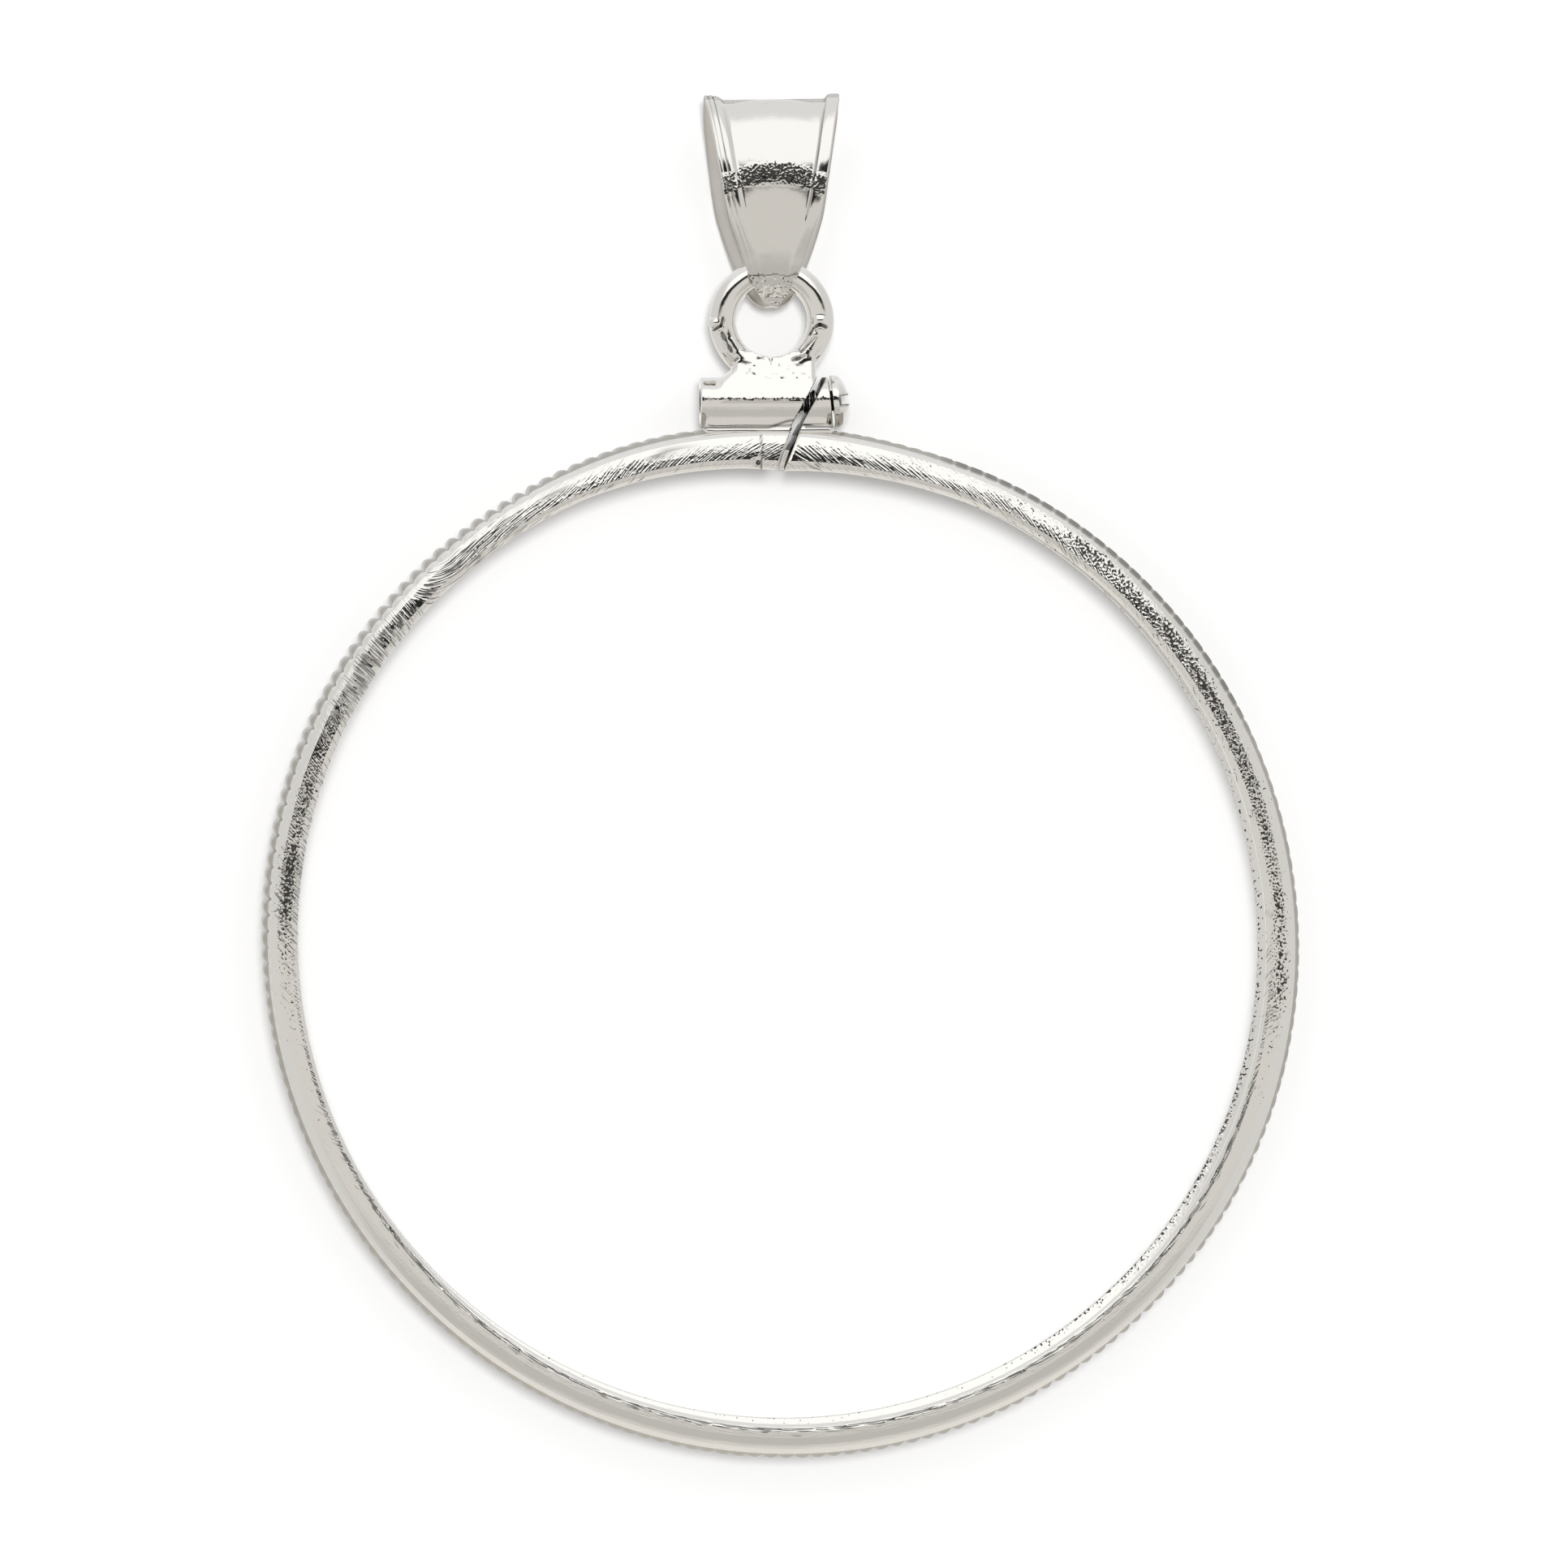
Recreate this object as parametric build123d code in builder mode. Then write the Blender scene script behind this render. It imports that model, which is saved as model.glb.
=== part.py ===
from build123d import *
from math import acos, atan2, cos, hypot, pi, sin, sqrt
import os

# A screw-top coin bezel in polished silver, lying face up. The centre of the coin's
# place is the origin, +Y runs up to the bail and +Z out of the face. Lengths are
# millimetres and angles are degrees.

# The coin, and the channel that it lies in
coin_diameter = 40.6
coin_thickness = 2.98
seat_clearance = 0.05
channel_clearance = 0.12
lip_overlap = 0.40

# Ring: two rounded lips, with a scalloped band between them round the outside
wall_thickness = 0.77
lip_height = 0.45
lip_edge_height = 0.17
lip_crown_inset = 0.30
lip_rim_drop = 0.35
band_crease = 0.12
band_bevel = 0.25
band_proud = 0.15
scallop_height = 0.13
scallop_pitch = 0.67

# Barrel soldered on the ring, with a fillet of solder under it
barrel_diameter = 2.0
barrel_length = 5.4
barrel_shift = -0.62
barrel_bite = 0.12
solder_inset = 0.20
solder_foot = 1.45
solder_rise = 0.90
solder_waist = 1.06
solder_depth = 0.50

# Slanting saw cut through the ring and the barrel
cut_width = 0.35
cut_angle = 28.5
cut_shift = 1.13
cut_reach = 1.60

# Clamp screw
screw_diameter = 1.0
bore_clearance = 0.03
screw_tip_inset = 0.60
thread_pitch = 0.25
thread_depth = 0.12
thread_crest = 0.05
head_diameter = 2.2
head_height = 0.75
head_rim = 0.22
head_gap = 0.03
driver_slot_width = 0.38
driver_slot_depth = 0.40

# Loop of wire soldered on the barrel, and the solder neck between them
loop_hole = 2.95
loop_wire = 1.10
loop_shift = -0.36
loop_sink = 0.25
neck_thickness = 0.90
neck_left = 1.70
neck_right = 1.90
neck_foot = 1.15
neck_rise = 0.60
neck_sink = 0.02
neck_spur = 0.45

# Bail: a sheet folded over the loop, with raised rails along its edges
sheet_thickness = 0.36
bail_width = 5.60
bail_depth = 3.90
bail_rise = 7.35
bail_belly = 3.20
fold_radius = 0.95
rail_width = 0.77
rail_height = 0.20
panel_end_step = 0.03
eye_clearance = 0.32
eye_reach = 1.02
front_tip = 1.36
back_tip = 1.53
tip_thickness = 0.60

# Outline of each leaf of the bail. The height is a share of the bail's rise above the
# loop's wire, and the half width is a share of half the bail's width.
FRONT_LEAF = [
    # height, half_width
    (1.00, 1.000),
    (0.85, 0.925),
    (0.62, 0.822),
    (0.42, 0.727),
    (0.22, 0.590),
    (0.07, 0.455),
    (-0.03, 0.350),
    (-0.09, 0.268),
]
BACK_LEAF = [
    # height, half_width
    (1.00, 1.000),
    (0.85, 0.985),
    (0.62, 0.915),
    (0.42, 0.848),
    (0.17, 0.690),
    (0.03, 0.530),
    (-0.06, 0.360),
    (-0.13, 0.262),
]

seat_radius = coin_diameter / 2 + seat_clearance
lip_radius = coin_diameter / 2 - lip_overlap
rim_radius = seat_radius + wall_thickness
valley_radius = rim_radius + band_proud
crest_radius = valley_radius + scallop_height
channel_half = (coin_thickness + channel_clearance) / 2
crown_half = channel_half + lip_height
rim_half = crown_half - lip_rim_drop
crease_half = rim_half - band_crease
band_half = crease_half - band_bevel
scallop_count = round(2 * pi * crest_radius / scallop_pitch)

barrel_radius = barrel_diameter / 2
barrel_y = crest_radius + barrel_radius - barrel_bite
barrel_left = barrel_shift - barrel_length / 2
barrel_right = barrel_shift + barrel_length / 2
bore_radius = screw_diameter / 2 + bore_clearance

wire_radius = loop_wire / 2
loop_inner = loop_hole / 2
loop_mean = loop_inner + wire_radius
loop_outer = loop_inner + loop_wire
loop_y = barrel_y + barrel_radius + loop_outer - loop_sink
wire_y = loop_y + loop_mean

eye_radius = wire_radius + eye_clearance
rail_half_depth = bail_depth / 2
panel_half_depth = rail_half_depth - rail_height
bail_half_width = bail_width / 2
bail_origin = (loop_shift, wire_y, 0)
bail_front = Plane(origin=bail_origin, x_dir=(1, 0, 0), z_dir=(0, 0, 1))
bail_side = Plane(origin=bail_origin, x_dir=(0, 1, 0), z_dir=(1, 0, 0))

os.makedirs("parts", exist_ok=True)


def on_circle(radius, turn):
    """A point of the circle about the ring's axis, turn going from 0 to 1."""
    return (radius * cos(2 * pi * turn), radius * sin(2 * pi * turn))


def scalloped_outline():
    """The band's outline: one shallow arc for each scallop."""
    for i in range(scallop_count):
        start = on_circle(valley_radius, i / scallop_count)
        crest = on_circle(crest_radius, (i + 0.5) / scallop_count)
        end = on_circle(valley_radius, (i + 1) / scallop_count)
        ThreePointArc(start, crest, end)


def ring_section():
    """The ring's section, radius across and height up: channel, lips and bevelled band."""
    crown = (lip_radius + lip_crown_inset, crown_half)
    lip_edge = (lip_radius, channel_half + lip_edge_height)
    rim = (rim_radius, rim_half)
    Polyline((seat_radius, 0), (seat_radius, channel_half), (lip_radius, channel_half), lip_edge)
    TangentArc(crown, lip_edge, tangent=(-1, 0))
    TangentArc(crown, rim, tangent=(1, 0))
    Polyline(rim, (rim_radius, crease_half), (crest_radius, band_half), (crest_radius, 0))
    mirror(about=Plane.XZ)


def touching_radius(across, up, radius):
    """Radius of the arc that is level at (0, up) and touches inside it a circle at (across, 0)."""
    return (across**2 + up**2 - radius**2) / (2 * (up - radius))


def touching_point(across, up, radius):
    """Where that arc meets the circle, measured from the circle's centre."""
    arc_radius = touching_radius(across, up, radius)
    reach = hypot(across, arc_radius - up)
    return (radius * across / reach, radius * (arc_radius - up) / reach)


def tangent_point(across, up, radius):
    """Where a straight line from a point touches a circle about the origin, on its upper side."""
    reach = hypot(across, up)
    turn = atan2(up, across) - acos(radius / reach)
    return (radius * cos(turn), radius * sin(turn))


def bail_section(rise, half_depth, fold, eye, inset):
    """The bail's side view, height across and depth up: a drop round the loop's wire.

    The inset draws its pointed end in for the hollow, which stops short of the tip.
    """
    fold_x, fold_y = touching_point(rise - fold - bail_belly, half_depth, fold)
    fold_end = (rise - fold + fold_x, fold_y)
    belly = (bail_belly, half_depth)
    eye_start = touching_point(-bail_belly, half_depth, eye)
    outer_end = tangent_point(-back_tip, tip_thickness / 2, eye + inset)
    eye_end = Vector(*outer_end) * (eye / (eye + inset))
    side = (Vector(-back_tip, tip_thickness / 2) - Vector(*outer_end)).normalized()
    reach = eye_reach if inset else back_tip
    corner = eye_end + side * ((eye_end.X + reach) / -side.X)
    TangentArc((rise, 0), fold_end, tangent=(0, 1))
    TangentArc(belly, fold_end, tangent=(1, 0))
    TangentArc(belly, eye_start, tangent=(-1, 0))
    RadiusArc(eye_start, eye_end, -eye)
    Polyline(eye_end, corner, (-reach, 0))
    mirror(about=Plane.XZ)


def leaf_outline(leaf, tip, inset):
    """One leaf seen from the front, its sides drawn in by the inset and its tip round."""
    side = [(bail_half_width * width - inset, bail_rise * height) for height, width in leaf]
    far_side = [(-x, y) for x, y in side]
    Spline(*side)
    Spline(*far_side)
    Line(side[0], far_side[0])
    ThreePointArc(side[-1], (0, -tip), far_side[-1])


with BuildPart() as bezel_frame:
    # Ring: the scalloped disc, turned down to the section of the channel and its lips
    with BuildSketch(Plane.XY):
        with BuildLine():
            scalloped_outline()
        make_face()
        Circle(lip_radius - lip_overlap, mode=Mode.SUBTRACT)
    extrude(amount=crown_half + lip_height, both=True)
    with BuildSketch(Plane.XZ):
        with BuildLine():
            ring_section()
        make_face()
    revolve(axis=Axis.Z, mode=Mode.INTERSECT)

    # Barrel, and the fillet of solder that joins it to the band
    with BuildSketch(Plane.YZ.offset(barrel_left)):
        with Locations((barrel_y, 0)):
            Circle(barrel_radius)
    extrude(amount=barrel_length)
    solder_top = barrel_y - sqrt(barrel_radius**2 - solder_rise**2)
    solder_bottom = rim_radius - solder_depth
    solder_edge = (rim_radius - solder_depth / 2, solder_foot)
    with BuildSketch(Plane.YZ.offset(barrel_left + solder_inset)):
        with BuildLine():
            Line((solder_top, 0), (solder_top, solder_rise))
            ThreePointArc((solder_top, solder_rise), (valley_radius, solder_waist), solder_edge)
            Polyline(solder_edge, (solder_bottom, solder_foot), (solder_bottom, 0))
            mirror(about=Plane.XZ)
        make_face()
    extrude(amount=barrel_length - 2 * solder_inset)

    # Loop, and the neck of solder that runs from it down to the barrel
    with Locations((loop_shift, loop_y, 0)):
        Torus(loop_mean, wire_radius)
    neck_top = loop_y - loop_mean / 2
    neck_base = barrel_y + barrel_radius / 2
    neck_shoulder = barrel_y + barrel_radius + neck_rise
    left = loop_shift - neck_left
    right = loop_shift + neck_right
    foot = (left - neck_foot, barrel_y + barrel_radius - neck_sink)
    with BuildSketch(Plane.XY.offset(-neck_thickness / 2)):
        with BuildLine():
            Polyline((left, neck_top), (left, neck_shoulder))
            TangentArc((left, neck_shoulder), foot, tangent=(0, -1))
            Polyline(
                foot,
                (left - neck_foot, neck_base),
                (right + neck_spur, neck_base),
                (right, neck_shoulder),
                (right, neck_top),
                (left, neck_top),
            )
        make_face()
        with Locations((loop_shift, loop_y)):
            Circle(loop_mean, mode=Mode.SUBTRACT)
    extrude(amount=neck_thickness)

    # Bore for the screw, and the saw cut
    with BuildSketch(Plane.YZ.offset(barrel_left)):
        with Locations((barrel_y, 0)):
            Circle(bore_radius)
    extrude(amount=barrel_length, mode=Mode.SUBTRACT)
    # Up past the barrel's top, and down well inside the lips
    cut_length = 2 * (cut_reach + barrel_y - lip_radius)
    with BuildSketch(Plane.XY):
        with Locations((cut_shift, barrel_y)):
            with Locations(Rotation(0, 0, -cut_angle)):
                with Locations((0, cut_reach - cut_length / 2)):
                    Rectangle(cut_width, cut_length)
    extrude(amount=crown_half + lip_height, both=True, mode=Mode.SUBTRACT)
bezel_frame.part.label = "bezel_frame"
export_step(bezel_frame.part, "parts/bezel_frame.step")

with BuildPart() as clamp_screw:
    head_seat = barrel_right + head_gap
    tip = barrel_left + screw_tip_inset
    root_radius = screw_diameter / 2 - thread_depth
    flank = (thread_pitch - thread_crest) / 2
    thread_count = int((barrel_right - tip) / thread_pitch)
    screw_line = Plane(origin=(0, barrel_y, 0), x_dir=(1, 0, 0), z_dir=(0, 0, 1))
    with BuildSketch(screw_line):
        with BuildLine():
            # Shank: a row of thread crests with a groove before each
            Line((tip, 0), (tip, root_radius))
            for i in range(thread_count):
                start = tip + i * thread_pitch
                Polyline(
                    (start, root_radius),
                    (start + flank, screw_diameter / 2),
                    (start + flank + thread_crest, screw_diameter / 2),
                    (start + thread_pitch, root_radius),
                )
            thread_end = tip + thread_count * thread_pitch
            Polyline(
                (thread_end, root_radius),
                (head_seat, root_radius),
                (head_seat, head_diameter / 2),
                (head_seat + head_rim, head_diameter / 2),
            )
            TangentArc(
                (head_seat + head_height, 0),
                (head_seat + head_rim, head_diameter / 2),
                tangent=(0, 1),
            )
            Line((head_seat + head_height, 0), (tip, 0))
        make_face()
    revolve(axis=Axis(origin=(0, barrel_y, 0), direction=(1, 0, 0)))
    with BuildSketch(Plane.XY):
        with Locations((head_seat + head_height, barrel_y)):
            Rectangle(2 * driver_slot_depth, driver_slot_width)
    extrude(amount=head_diameter, both=True, mode=Mode.SUBTRACT)
clamp_screw.part.label = "clamp_screw"
export_step(clamp_screw.part, "parts/clamp_screw.step")

# The two leaves' outlines, the front one above the middle plane and the back one below
with BuildPart() as leaf_shape:
    with BuildSketch(bail_front):
        with BuildLine():
            leaf_outline(FRONT_LEAF, front_tip, 0)
        make_face()
    extrude(amount=bail_depth)
    with BuildSketch(bail_front):
        with BuildLine():
            leaf_outline(BACK_LEAF, back_tip, 0)
        make_face()
    extrude(amount=-bail_depth)

# The panels between the rails, which run down as far as the loop's wire
front_panel = [row for row in FRONT_LEAF if row[0] >= 0]
back_panel = [row for row in BACK_LEAF if row[0] >= 0]
with BuildPart() as panel_shape:
    with BuildSketch(bail_front):
        with BuildLine():
            leaf_outline(front_panel, front_tip - rail_width, rail_width)
        make_face()
    extrude(amount=bail_depth)
    with BuildSketch(bail_front):
        with BuildLine():
            leaf_outline(back_panel, back_tip - rail_width, rail_width)
        make_face()
    extrude(amount=-bail_depth)

with BuildPart() as bail:
    outer_eye = eye_radius + sheet_thickness
    with BuildSketch(bail_side):
        with BuildLine():
            bail_section(bail_rise, rail_half_depth, fold_radius, outer_eye, 0)
        make_face()
    extrude(amount=bail_half_width, both=True)
    add(panel_shape.part, mode=Mode.SUBTRACT)
    panel_fold = fold_radius - rail_height
    # A low step still parts the panel from the rails where both run round the loop's wire
    panel_eye = outer_eye - panel_end_step
    with BuildSketch(bail_side):
        with BuildLine():
            bail_section(bail_rise - rail_height, panel_half_depth, panel_fold, panel_eye, 0)
        make_face()
    extrude(amount=bail_half_width, both=True)
    add(leaf_shape.part, mode=Mode.INTERSECT)
    with BuildSketch(bail_side):
        with BuildLine():
            bail_section(
                bail_rise - rail_height - sheet_thickness,
                panel_half_depth - sheet_thickness,
                panel_fold - sheet_thickness,
                eye_radius,
                sheet_thickness,
            )
        make_face()
    extrude(amount=bail_half_width, both=True, mode=Mode.SUBTRACT)
bail.part.label = "bail"
export_step(bail.part, "parts/bail.step")
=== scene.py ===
import math

import bpy
import numpy as np
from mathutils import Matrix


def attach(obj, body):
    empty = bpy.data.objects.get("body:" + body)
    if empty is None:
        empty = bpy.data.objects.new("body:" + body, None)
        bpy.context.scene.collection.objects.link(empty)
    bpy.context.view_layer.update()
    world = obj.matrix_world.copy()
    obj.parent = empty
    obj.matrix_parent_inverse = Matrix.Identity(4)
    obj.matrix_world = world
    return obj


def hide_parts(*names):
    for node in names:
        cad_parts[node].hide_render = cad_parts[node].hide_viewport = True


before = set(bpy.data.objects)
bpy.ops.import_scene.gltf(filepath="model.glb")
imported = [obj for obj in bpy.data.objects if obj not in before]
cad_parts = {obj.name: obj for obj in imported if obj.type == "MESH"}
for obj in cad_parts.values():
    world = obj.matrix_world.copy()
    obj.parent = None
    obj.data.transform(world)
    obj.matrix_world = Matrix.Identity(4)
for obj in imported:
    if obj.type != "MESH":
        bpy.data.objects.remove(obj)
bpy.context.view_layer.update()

import openvdb
from mathutils import Matrix, Vector

# A screw-top coin bezel in polished silver, lying face up on a pale floor. All sizes below
# are millimetres in the part's own frame: +Y runs up to the bail, +Z out of the face.
MM = 0.001

# Ring: channel, two lips, scalloped band
SEAT_RADIUS = 20.35
LIP_RADIUS = 19.90
RIM_RADIUS = 21.12
CREST_RADIUS = 21.335
STROKE_RADIUS = 20.6
CHANNEL_HALF = 1.55
CROWN_HALF = 2.00
SCALLOPS = 201
SCALLOPS_BY_SEAM = 7
STEPS_PER_SCALLOP = 5
STEPS_BY_SEAM = 16
SEAM_X = -0.90
SEAM_PIT_X = -1.03
SEAM_PIT_Y = 19.79

# Barrel and slanting saw cut
BARREL_Y = 22.28
BARREL_RADIUS = 1.0
BARREL_LEFT = -3.32
BARREL_RIGHT = 2.06
END_ROUNDING = 0.07
BORE_RADIUS = 0.53
CUT_SHIFT = 1.13
CUT_ANGLE = math.radians(28.5)
CUT_HALF = 0.175

# Solder under the barrel: a saddle on the band, a bead along each rim of the ring, and the
# height from which the ring itself has the place
SADDLE_X = -0.62
SADDLE_Y = 21.35
SADDLE_HALF = (2.50, 0.70, 0.84)
BEAD_X = -0.55
BEAD_HALF = 2.42
BEAD_DROP = 1.20
BEAD_Z = 1.22
BEAD_RADIUS = 0.27
FITTINGS_FOOT = 20.86

# Wire loop, and the neck that carries it, with its half thickness at two heights
LOOP_X = -0.36
LOOP_Y = 25.605
LOOP_MEAN = 2.025
WIRE_RADIUS = 0.55
WIRE_Y = 27.63
NECK_X = -0.27
NECK_HALF = 1.70
NECK_FOOT = 22.4
NECK_TOP = 24.35
NECK_SLOPE = [(22.4, 1.00), (24.4, 0.465)]

# Clamp screw
SCREW_RADIUS = 0.50
SCREW_ROOT = 0.39
THREAD_PITCH = 0.25
SCREW_TIP = -2.72
HEAD_SEAT = 2.11
HEAD_RADIUS = 1.08
HEAD_HEIGHT = 0.74
HEAD_TILT = math.radians(5.5)
DOME_RADIUS = 1.55
HEAD_ROUNDING = 0.10
SLOT_SHIFT = 0.02
SLOT_HALF = 0.19
SLOT_DEPTH = 0.40

# Solder on the loop: the heights between which it is rough, as (start, full, fading, end),
# lumps as (x, y, z, radius), and cracks as lines from (x, y) to (x, y)
SOLDERED = (22.9, 23.2, 25.2, 25.9)
SOLDER_LUMPS = [
    (-2.66, 25.50, 0.22, 0.32), (-2.52, 25.18, 0.30, 0.22), (1.62, 25.62, 0.28, 0.34),
    (1.66, 25.24, 0.22, 0.32), (1.40, 25.02, 0.34, 0.20),
]
CRACKS = [
    (-2.44, 25.12, -2.02, 24.30), (0.82, 24.32, 1.46, 24.96), (-1.92, 23.96, -1.78, 24.08),
    (0.46, 24.00, 1.00, 24.16), (-2.80, 25.22, -2.48, 25.40), (-2.48, 25.40, -2.40, 25.74),
    (1.34, 25.30, 1.60, 25.46), (1.60, 25.46, 1.86, 25.34), (1.22, 25.06, 1.34, 25.30),
    (-0.42, 24.02, -0.44, 24.30),
]

# Bail: a folded sheet with raised rails
SHEET = 0.36
BAIL_HALF_WIDTH = 2.80
BAIL_RISE = 7.35
BAIL_HALF_DEPTH = 1.95
BAIL_BELLY = 3.20
FOLD_RADIUS = 0.95
RAIL_HEIGHT = 0.20
FULL_RAILS_FROM = 1.35
EYE_RADIUS = 0.87
FRONT_TIP = 1.36
BACK_TIP = 1.53
TIP_HALF = 0.30
TOP_TILT = math.radians(0.9)
POINT_SPACING = 0.045

# Half width of each leaf of the bail at heights above the loop's wire
FRONT_LEAF = [
    (-1.13, 0.43), (-0.80, 0.70), (-0.46, 0.88), (-0.13, 1.02), (0.54, 1.28), (1.21, 1.50),
    (2.22, 1.85), (3.06, 2.03), (4.56, 2.30), (6.24, 2.57), (7.35, 2.80),
]
BACK_LEAF = [
    (-1.20, 0.81), (-0.86, 1.06), (0.21, 1.55), (0.54, 1.68), (1.21, 1.92), (2.22, 2.23),
    (2.89, 2.34), (4.56, 2.56), (6.24, 2.76), (7.35, 2.80),
]

# Heights of the dark band that the bail's front mirrors, where its pits show and dark flecks are
# painted in as a painted reflection of the dark slit, as (start, full, fading, end)
DARK_BAND = (3.5, 3.8, 4.35, 4.7)

# The ring by the clock, in degrees from the top: how deep the band is scalloped, how square
# its lobes are, how much the lips are hatched, how the strokes lean along the ring, how many
# pits the lips have and where across them most of these lie, and the pits on the inner wall.
# The hatching and the pits also set the dark streaks and flecks painted in as a painted
# reflection of the dark slit
SCALLOP_DEPTH = [
    (0, 0.05), (15, 0.067), (22, 0.035), (58, 0.035), (75, 0.034), (105, 0.045), (130, 0.13),
    (140, 0.16), (165, 0.16), (195, 0.085), (225, 0.067), (255, 0.05), (268, 0.14), (300, 0.18),
    (307, 0.26), (328, 0.26), (340, 0.08), (360, 0.05),
]
LOBE_POWER = [(0, 2.5), (16, 2.5), (22, 9), (58, 9), (68, 2.5), (360, 2.0)]
HATCHING = [
    (0, 0.6), (30, 0.65), (60, 0.5), (85, 0.5), (98, 0.8), (106, 0.25), (150, 0.15), (238, 0.2),
    (250, 0.3), (262, 0.5), (270, 0.9), (290, 1.0), (300, 1.8), (314, 1.6), (322, 0.9),
    (340, 0.6), (360, 0.6),
]
STROKE_LEAN = [
    (0, -22), (45, -25), (75, -15), (97, -45), (108, -5), (235, 0), (248, 35), (268, 40),
    (280, 55), (297, 60), (303, 82), (313, 82), (319, 5), (332, 8), (342, 30), (360, 30),
]
SPECKLING = [
    (0, 0.30), (28, 0.50), (38, 1.0), (60, 1.2), (90, 1.2), (98, 0.9), (106, 0.4), (115, 0.15),
    (235, 0.15), (258, 0.25), (268, 0.90), (275, 1.20), (290, 1.30), (297, 0.95), (303, 0.45),
    (312, 0.30), (330, 0.3), (360, 0.30),
]
SPECKLED_STRIPE = [
    (0, 0.72), (30, 0.70), (50, 0.55), (60, 0.48), (100, 0.52), (262, 0.45), (300, 0.40),
    (360, 0.40),
]
WALL_PITS = [
    (0, 0.3), (60, 0.5), (95, 0.8), (145, 0.9), (155, 0.4), (240, 0.4), (360, 0.3),
]
# Stretches of the ring as (start, full, fading, end) by the clock: where valleys bite teeth
# out of the rim, where the lips are streaked, and where the band has flat plates painted darker
TOOTHED = (264, 275, 326, 336)
STREAKED = (100, 108, 248, 260)
PLATED = (16, 21, 60, 68)
# The same in degrees right of the top, for a dark line painted on the lips left of the cut as a
# painted reflection of the dark slit, and how far the lips are drawn in beside the cut
PAINTED_SLIT_REFLECTION = (-46, -36, -14, -8)
DRAWN_IN = [(-24, 0), (-15, 0.15), (-5, 0.27), (0, 0.40), (15, 0.10), (24, 0)]


def linear(hex_colour):
    """An sRGB hex colour as linear RGBA."""
    parts = [int(hex_colour[i:i + 2], 16) / 255 for i in (1, 3, 5)]
    return [c / 12.92 if c <= 0.04045 else ((c + 0.055) / 1.055) ** 2.4 for c in parts] + [1.0]


def put(tree, kind, sockets=None, **settings):
    """Adds a node with its settings. A socket takes a value, or another node's output."""
    node = tree.nodes.new(kind)
    for name, value in settings.items():
        setattr(node, name, value)
    for name, value in (sockets or {}).items():
        if isinstance(value, bpy.types.NodeSocket):
            tree.links.new(value, node.inputs[name])
        else:
            node.inputs[name].default_value = value
    return node


def smooth(x, low, high):
    """0 below low, 1 above high and a smooth ramp between them."""
    t = np.clip((x - low) / (high - low), 0, 1)
    return t * t * (3 - 2 * t)


def span(x, start, full, fading, end):
    """1 from full to fading and 0 outside start and end, with smooth ramps."""
    return smooth(x, start, full) * smooth(x, end, fading)


def ridge(x, place, width):
    """1 at a place, falling smoothly away on both sides of it over about that width."""
    return np.exp(-(((x - place) / width) ** 2))


def lattice(i, j, k, seed):
    """A repeatable random number from -1 to 1 for each lattice point."""
    h = (i * 374761393 + j * 668265263 + k * 2147483647 + seed * 1274126177) & 0xFFFFFFFF
    h = ((h ^ (h >> 13)) * 1274126177) & 0xFFFFFFFF
    h = h ^ (h >> 16)
    return (h & 0xFFFF) / 32767.5 - 1


def grain(x, y, z, size, seed):
    """Smooth random relief from -1 to 1, with lumps of the given size."""
    x, y, z = (np.asarray(c, dtype=np.float64) / size + 1000.0 for c in (x, y, z))
    x, y, z = np.broadcast_arrays(x, y, z)
    i, j, k = (np.floor(c).astype(np.int64) for c in (x, y, z))
    u, v, w = (smooth(c, 0, 1) for c in (x - i, y - j, z - k))
    total = 0
    for di in (0, 1):
        for dj in (0, 1):
            for dk in (0, 1):
                share = (u if di else 1 - u) * (v if dj else 1 - v) * (w if dk else 1 - w)
                total = total + share * lattice(i + di, j + dj, k + dk, seed)
    return total


def along_table(x, rows):
    """Reads a table of (place, value) rows at x."""
    return np.interp(x, [row[0] for row in rows], [row[1] for row in rows])


def length_along(path):
    """How far along a path each of its points lies."""
    return np.concatenate([[0], np.cumsum(np.linalg.norm(np.diff(path, axis=0), axis=1))])


def piece(name, points, faces, body, materials, strokes=None, marks=None, face_material=None,
          normals=None):
    """A smooth-shaded mesh from points in millimetres, riding on its body. The strokes are
    the places along and across the brush marks, and the marks are amounts for each point."""
    mesh = bpy.data.meshes.new(name)
    mesh.from_pydata((np.asarray(points) * MM).tolist(), [], faces)
    mesh.polygons.foreach_set("use_smooth", [True] * len(mesh.polygons))
    if face_material is not None:
        mesh.polygons.foreach_set("material_index", face_material)
    if strokes is not None:
        layer = mesh.uv_layers.new(name="strokes")
        corners = np.zeros(len(mesh.loops), dtype=np.int32)
        mesh.loops.foreach_get("vertex_index", corners)
        layer.data.foreach_set("uv", np.asarray(strokes, dtype=np.float32)[corners].ravel())
    for mark, amount in (marks or {}).items():
        layer = mesh.attributes.new(mark, "FLOAT", "POINT")
        layer.data.foreach_set("value", np.asarray(amount, dtype=np.float32).ravel())
    mesh.update()
    if normals is not None:
        mesh.normals_split_custom_set_from_vertices(normals.tolist())
    thing = bpy.data.objects.new(name, mesh)
    bpy.context.scene.collection.objects.link(thing)
    for material in materials:
        mesh.materials.append(material)
    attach(thing, body)
    return thing


def closed_faces(rows, columns):
    """Quads between rows of points that each go round a section, and a face at each end."""
    faces = []
    for i in range(rows - 1):
        here, above = i * columns, (i + 1) * columns
        for j in range(columns):
            k = (j + 1) % columns
            faces.append((here + j, here + k, above + k, above + j))
    faces.append(tuple(range(columns))[::-1])
    faces.append(tuple((rows - 1) * columns + n for n in range(columns)))
    return faces


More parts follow.
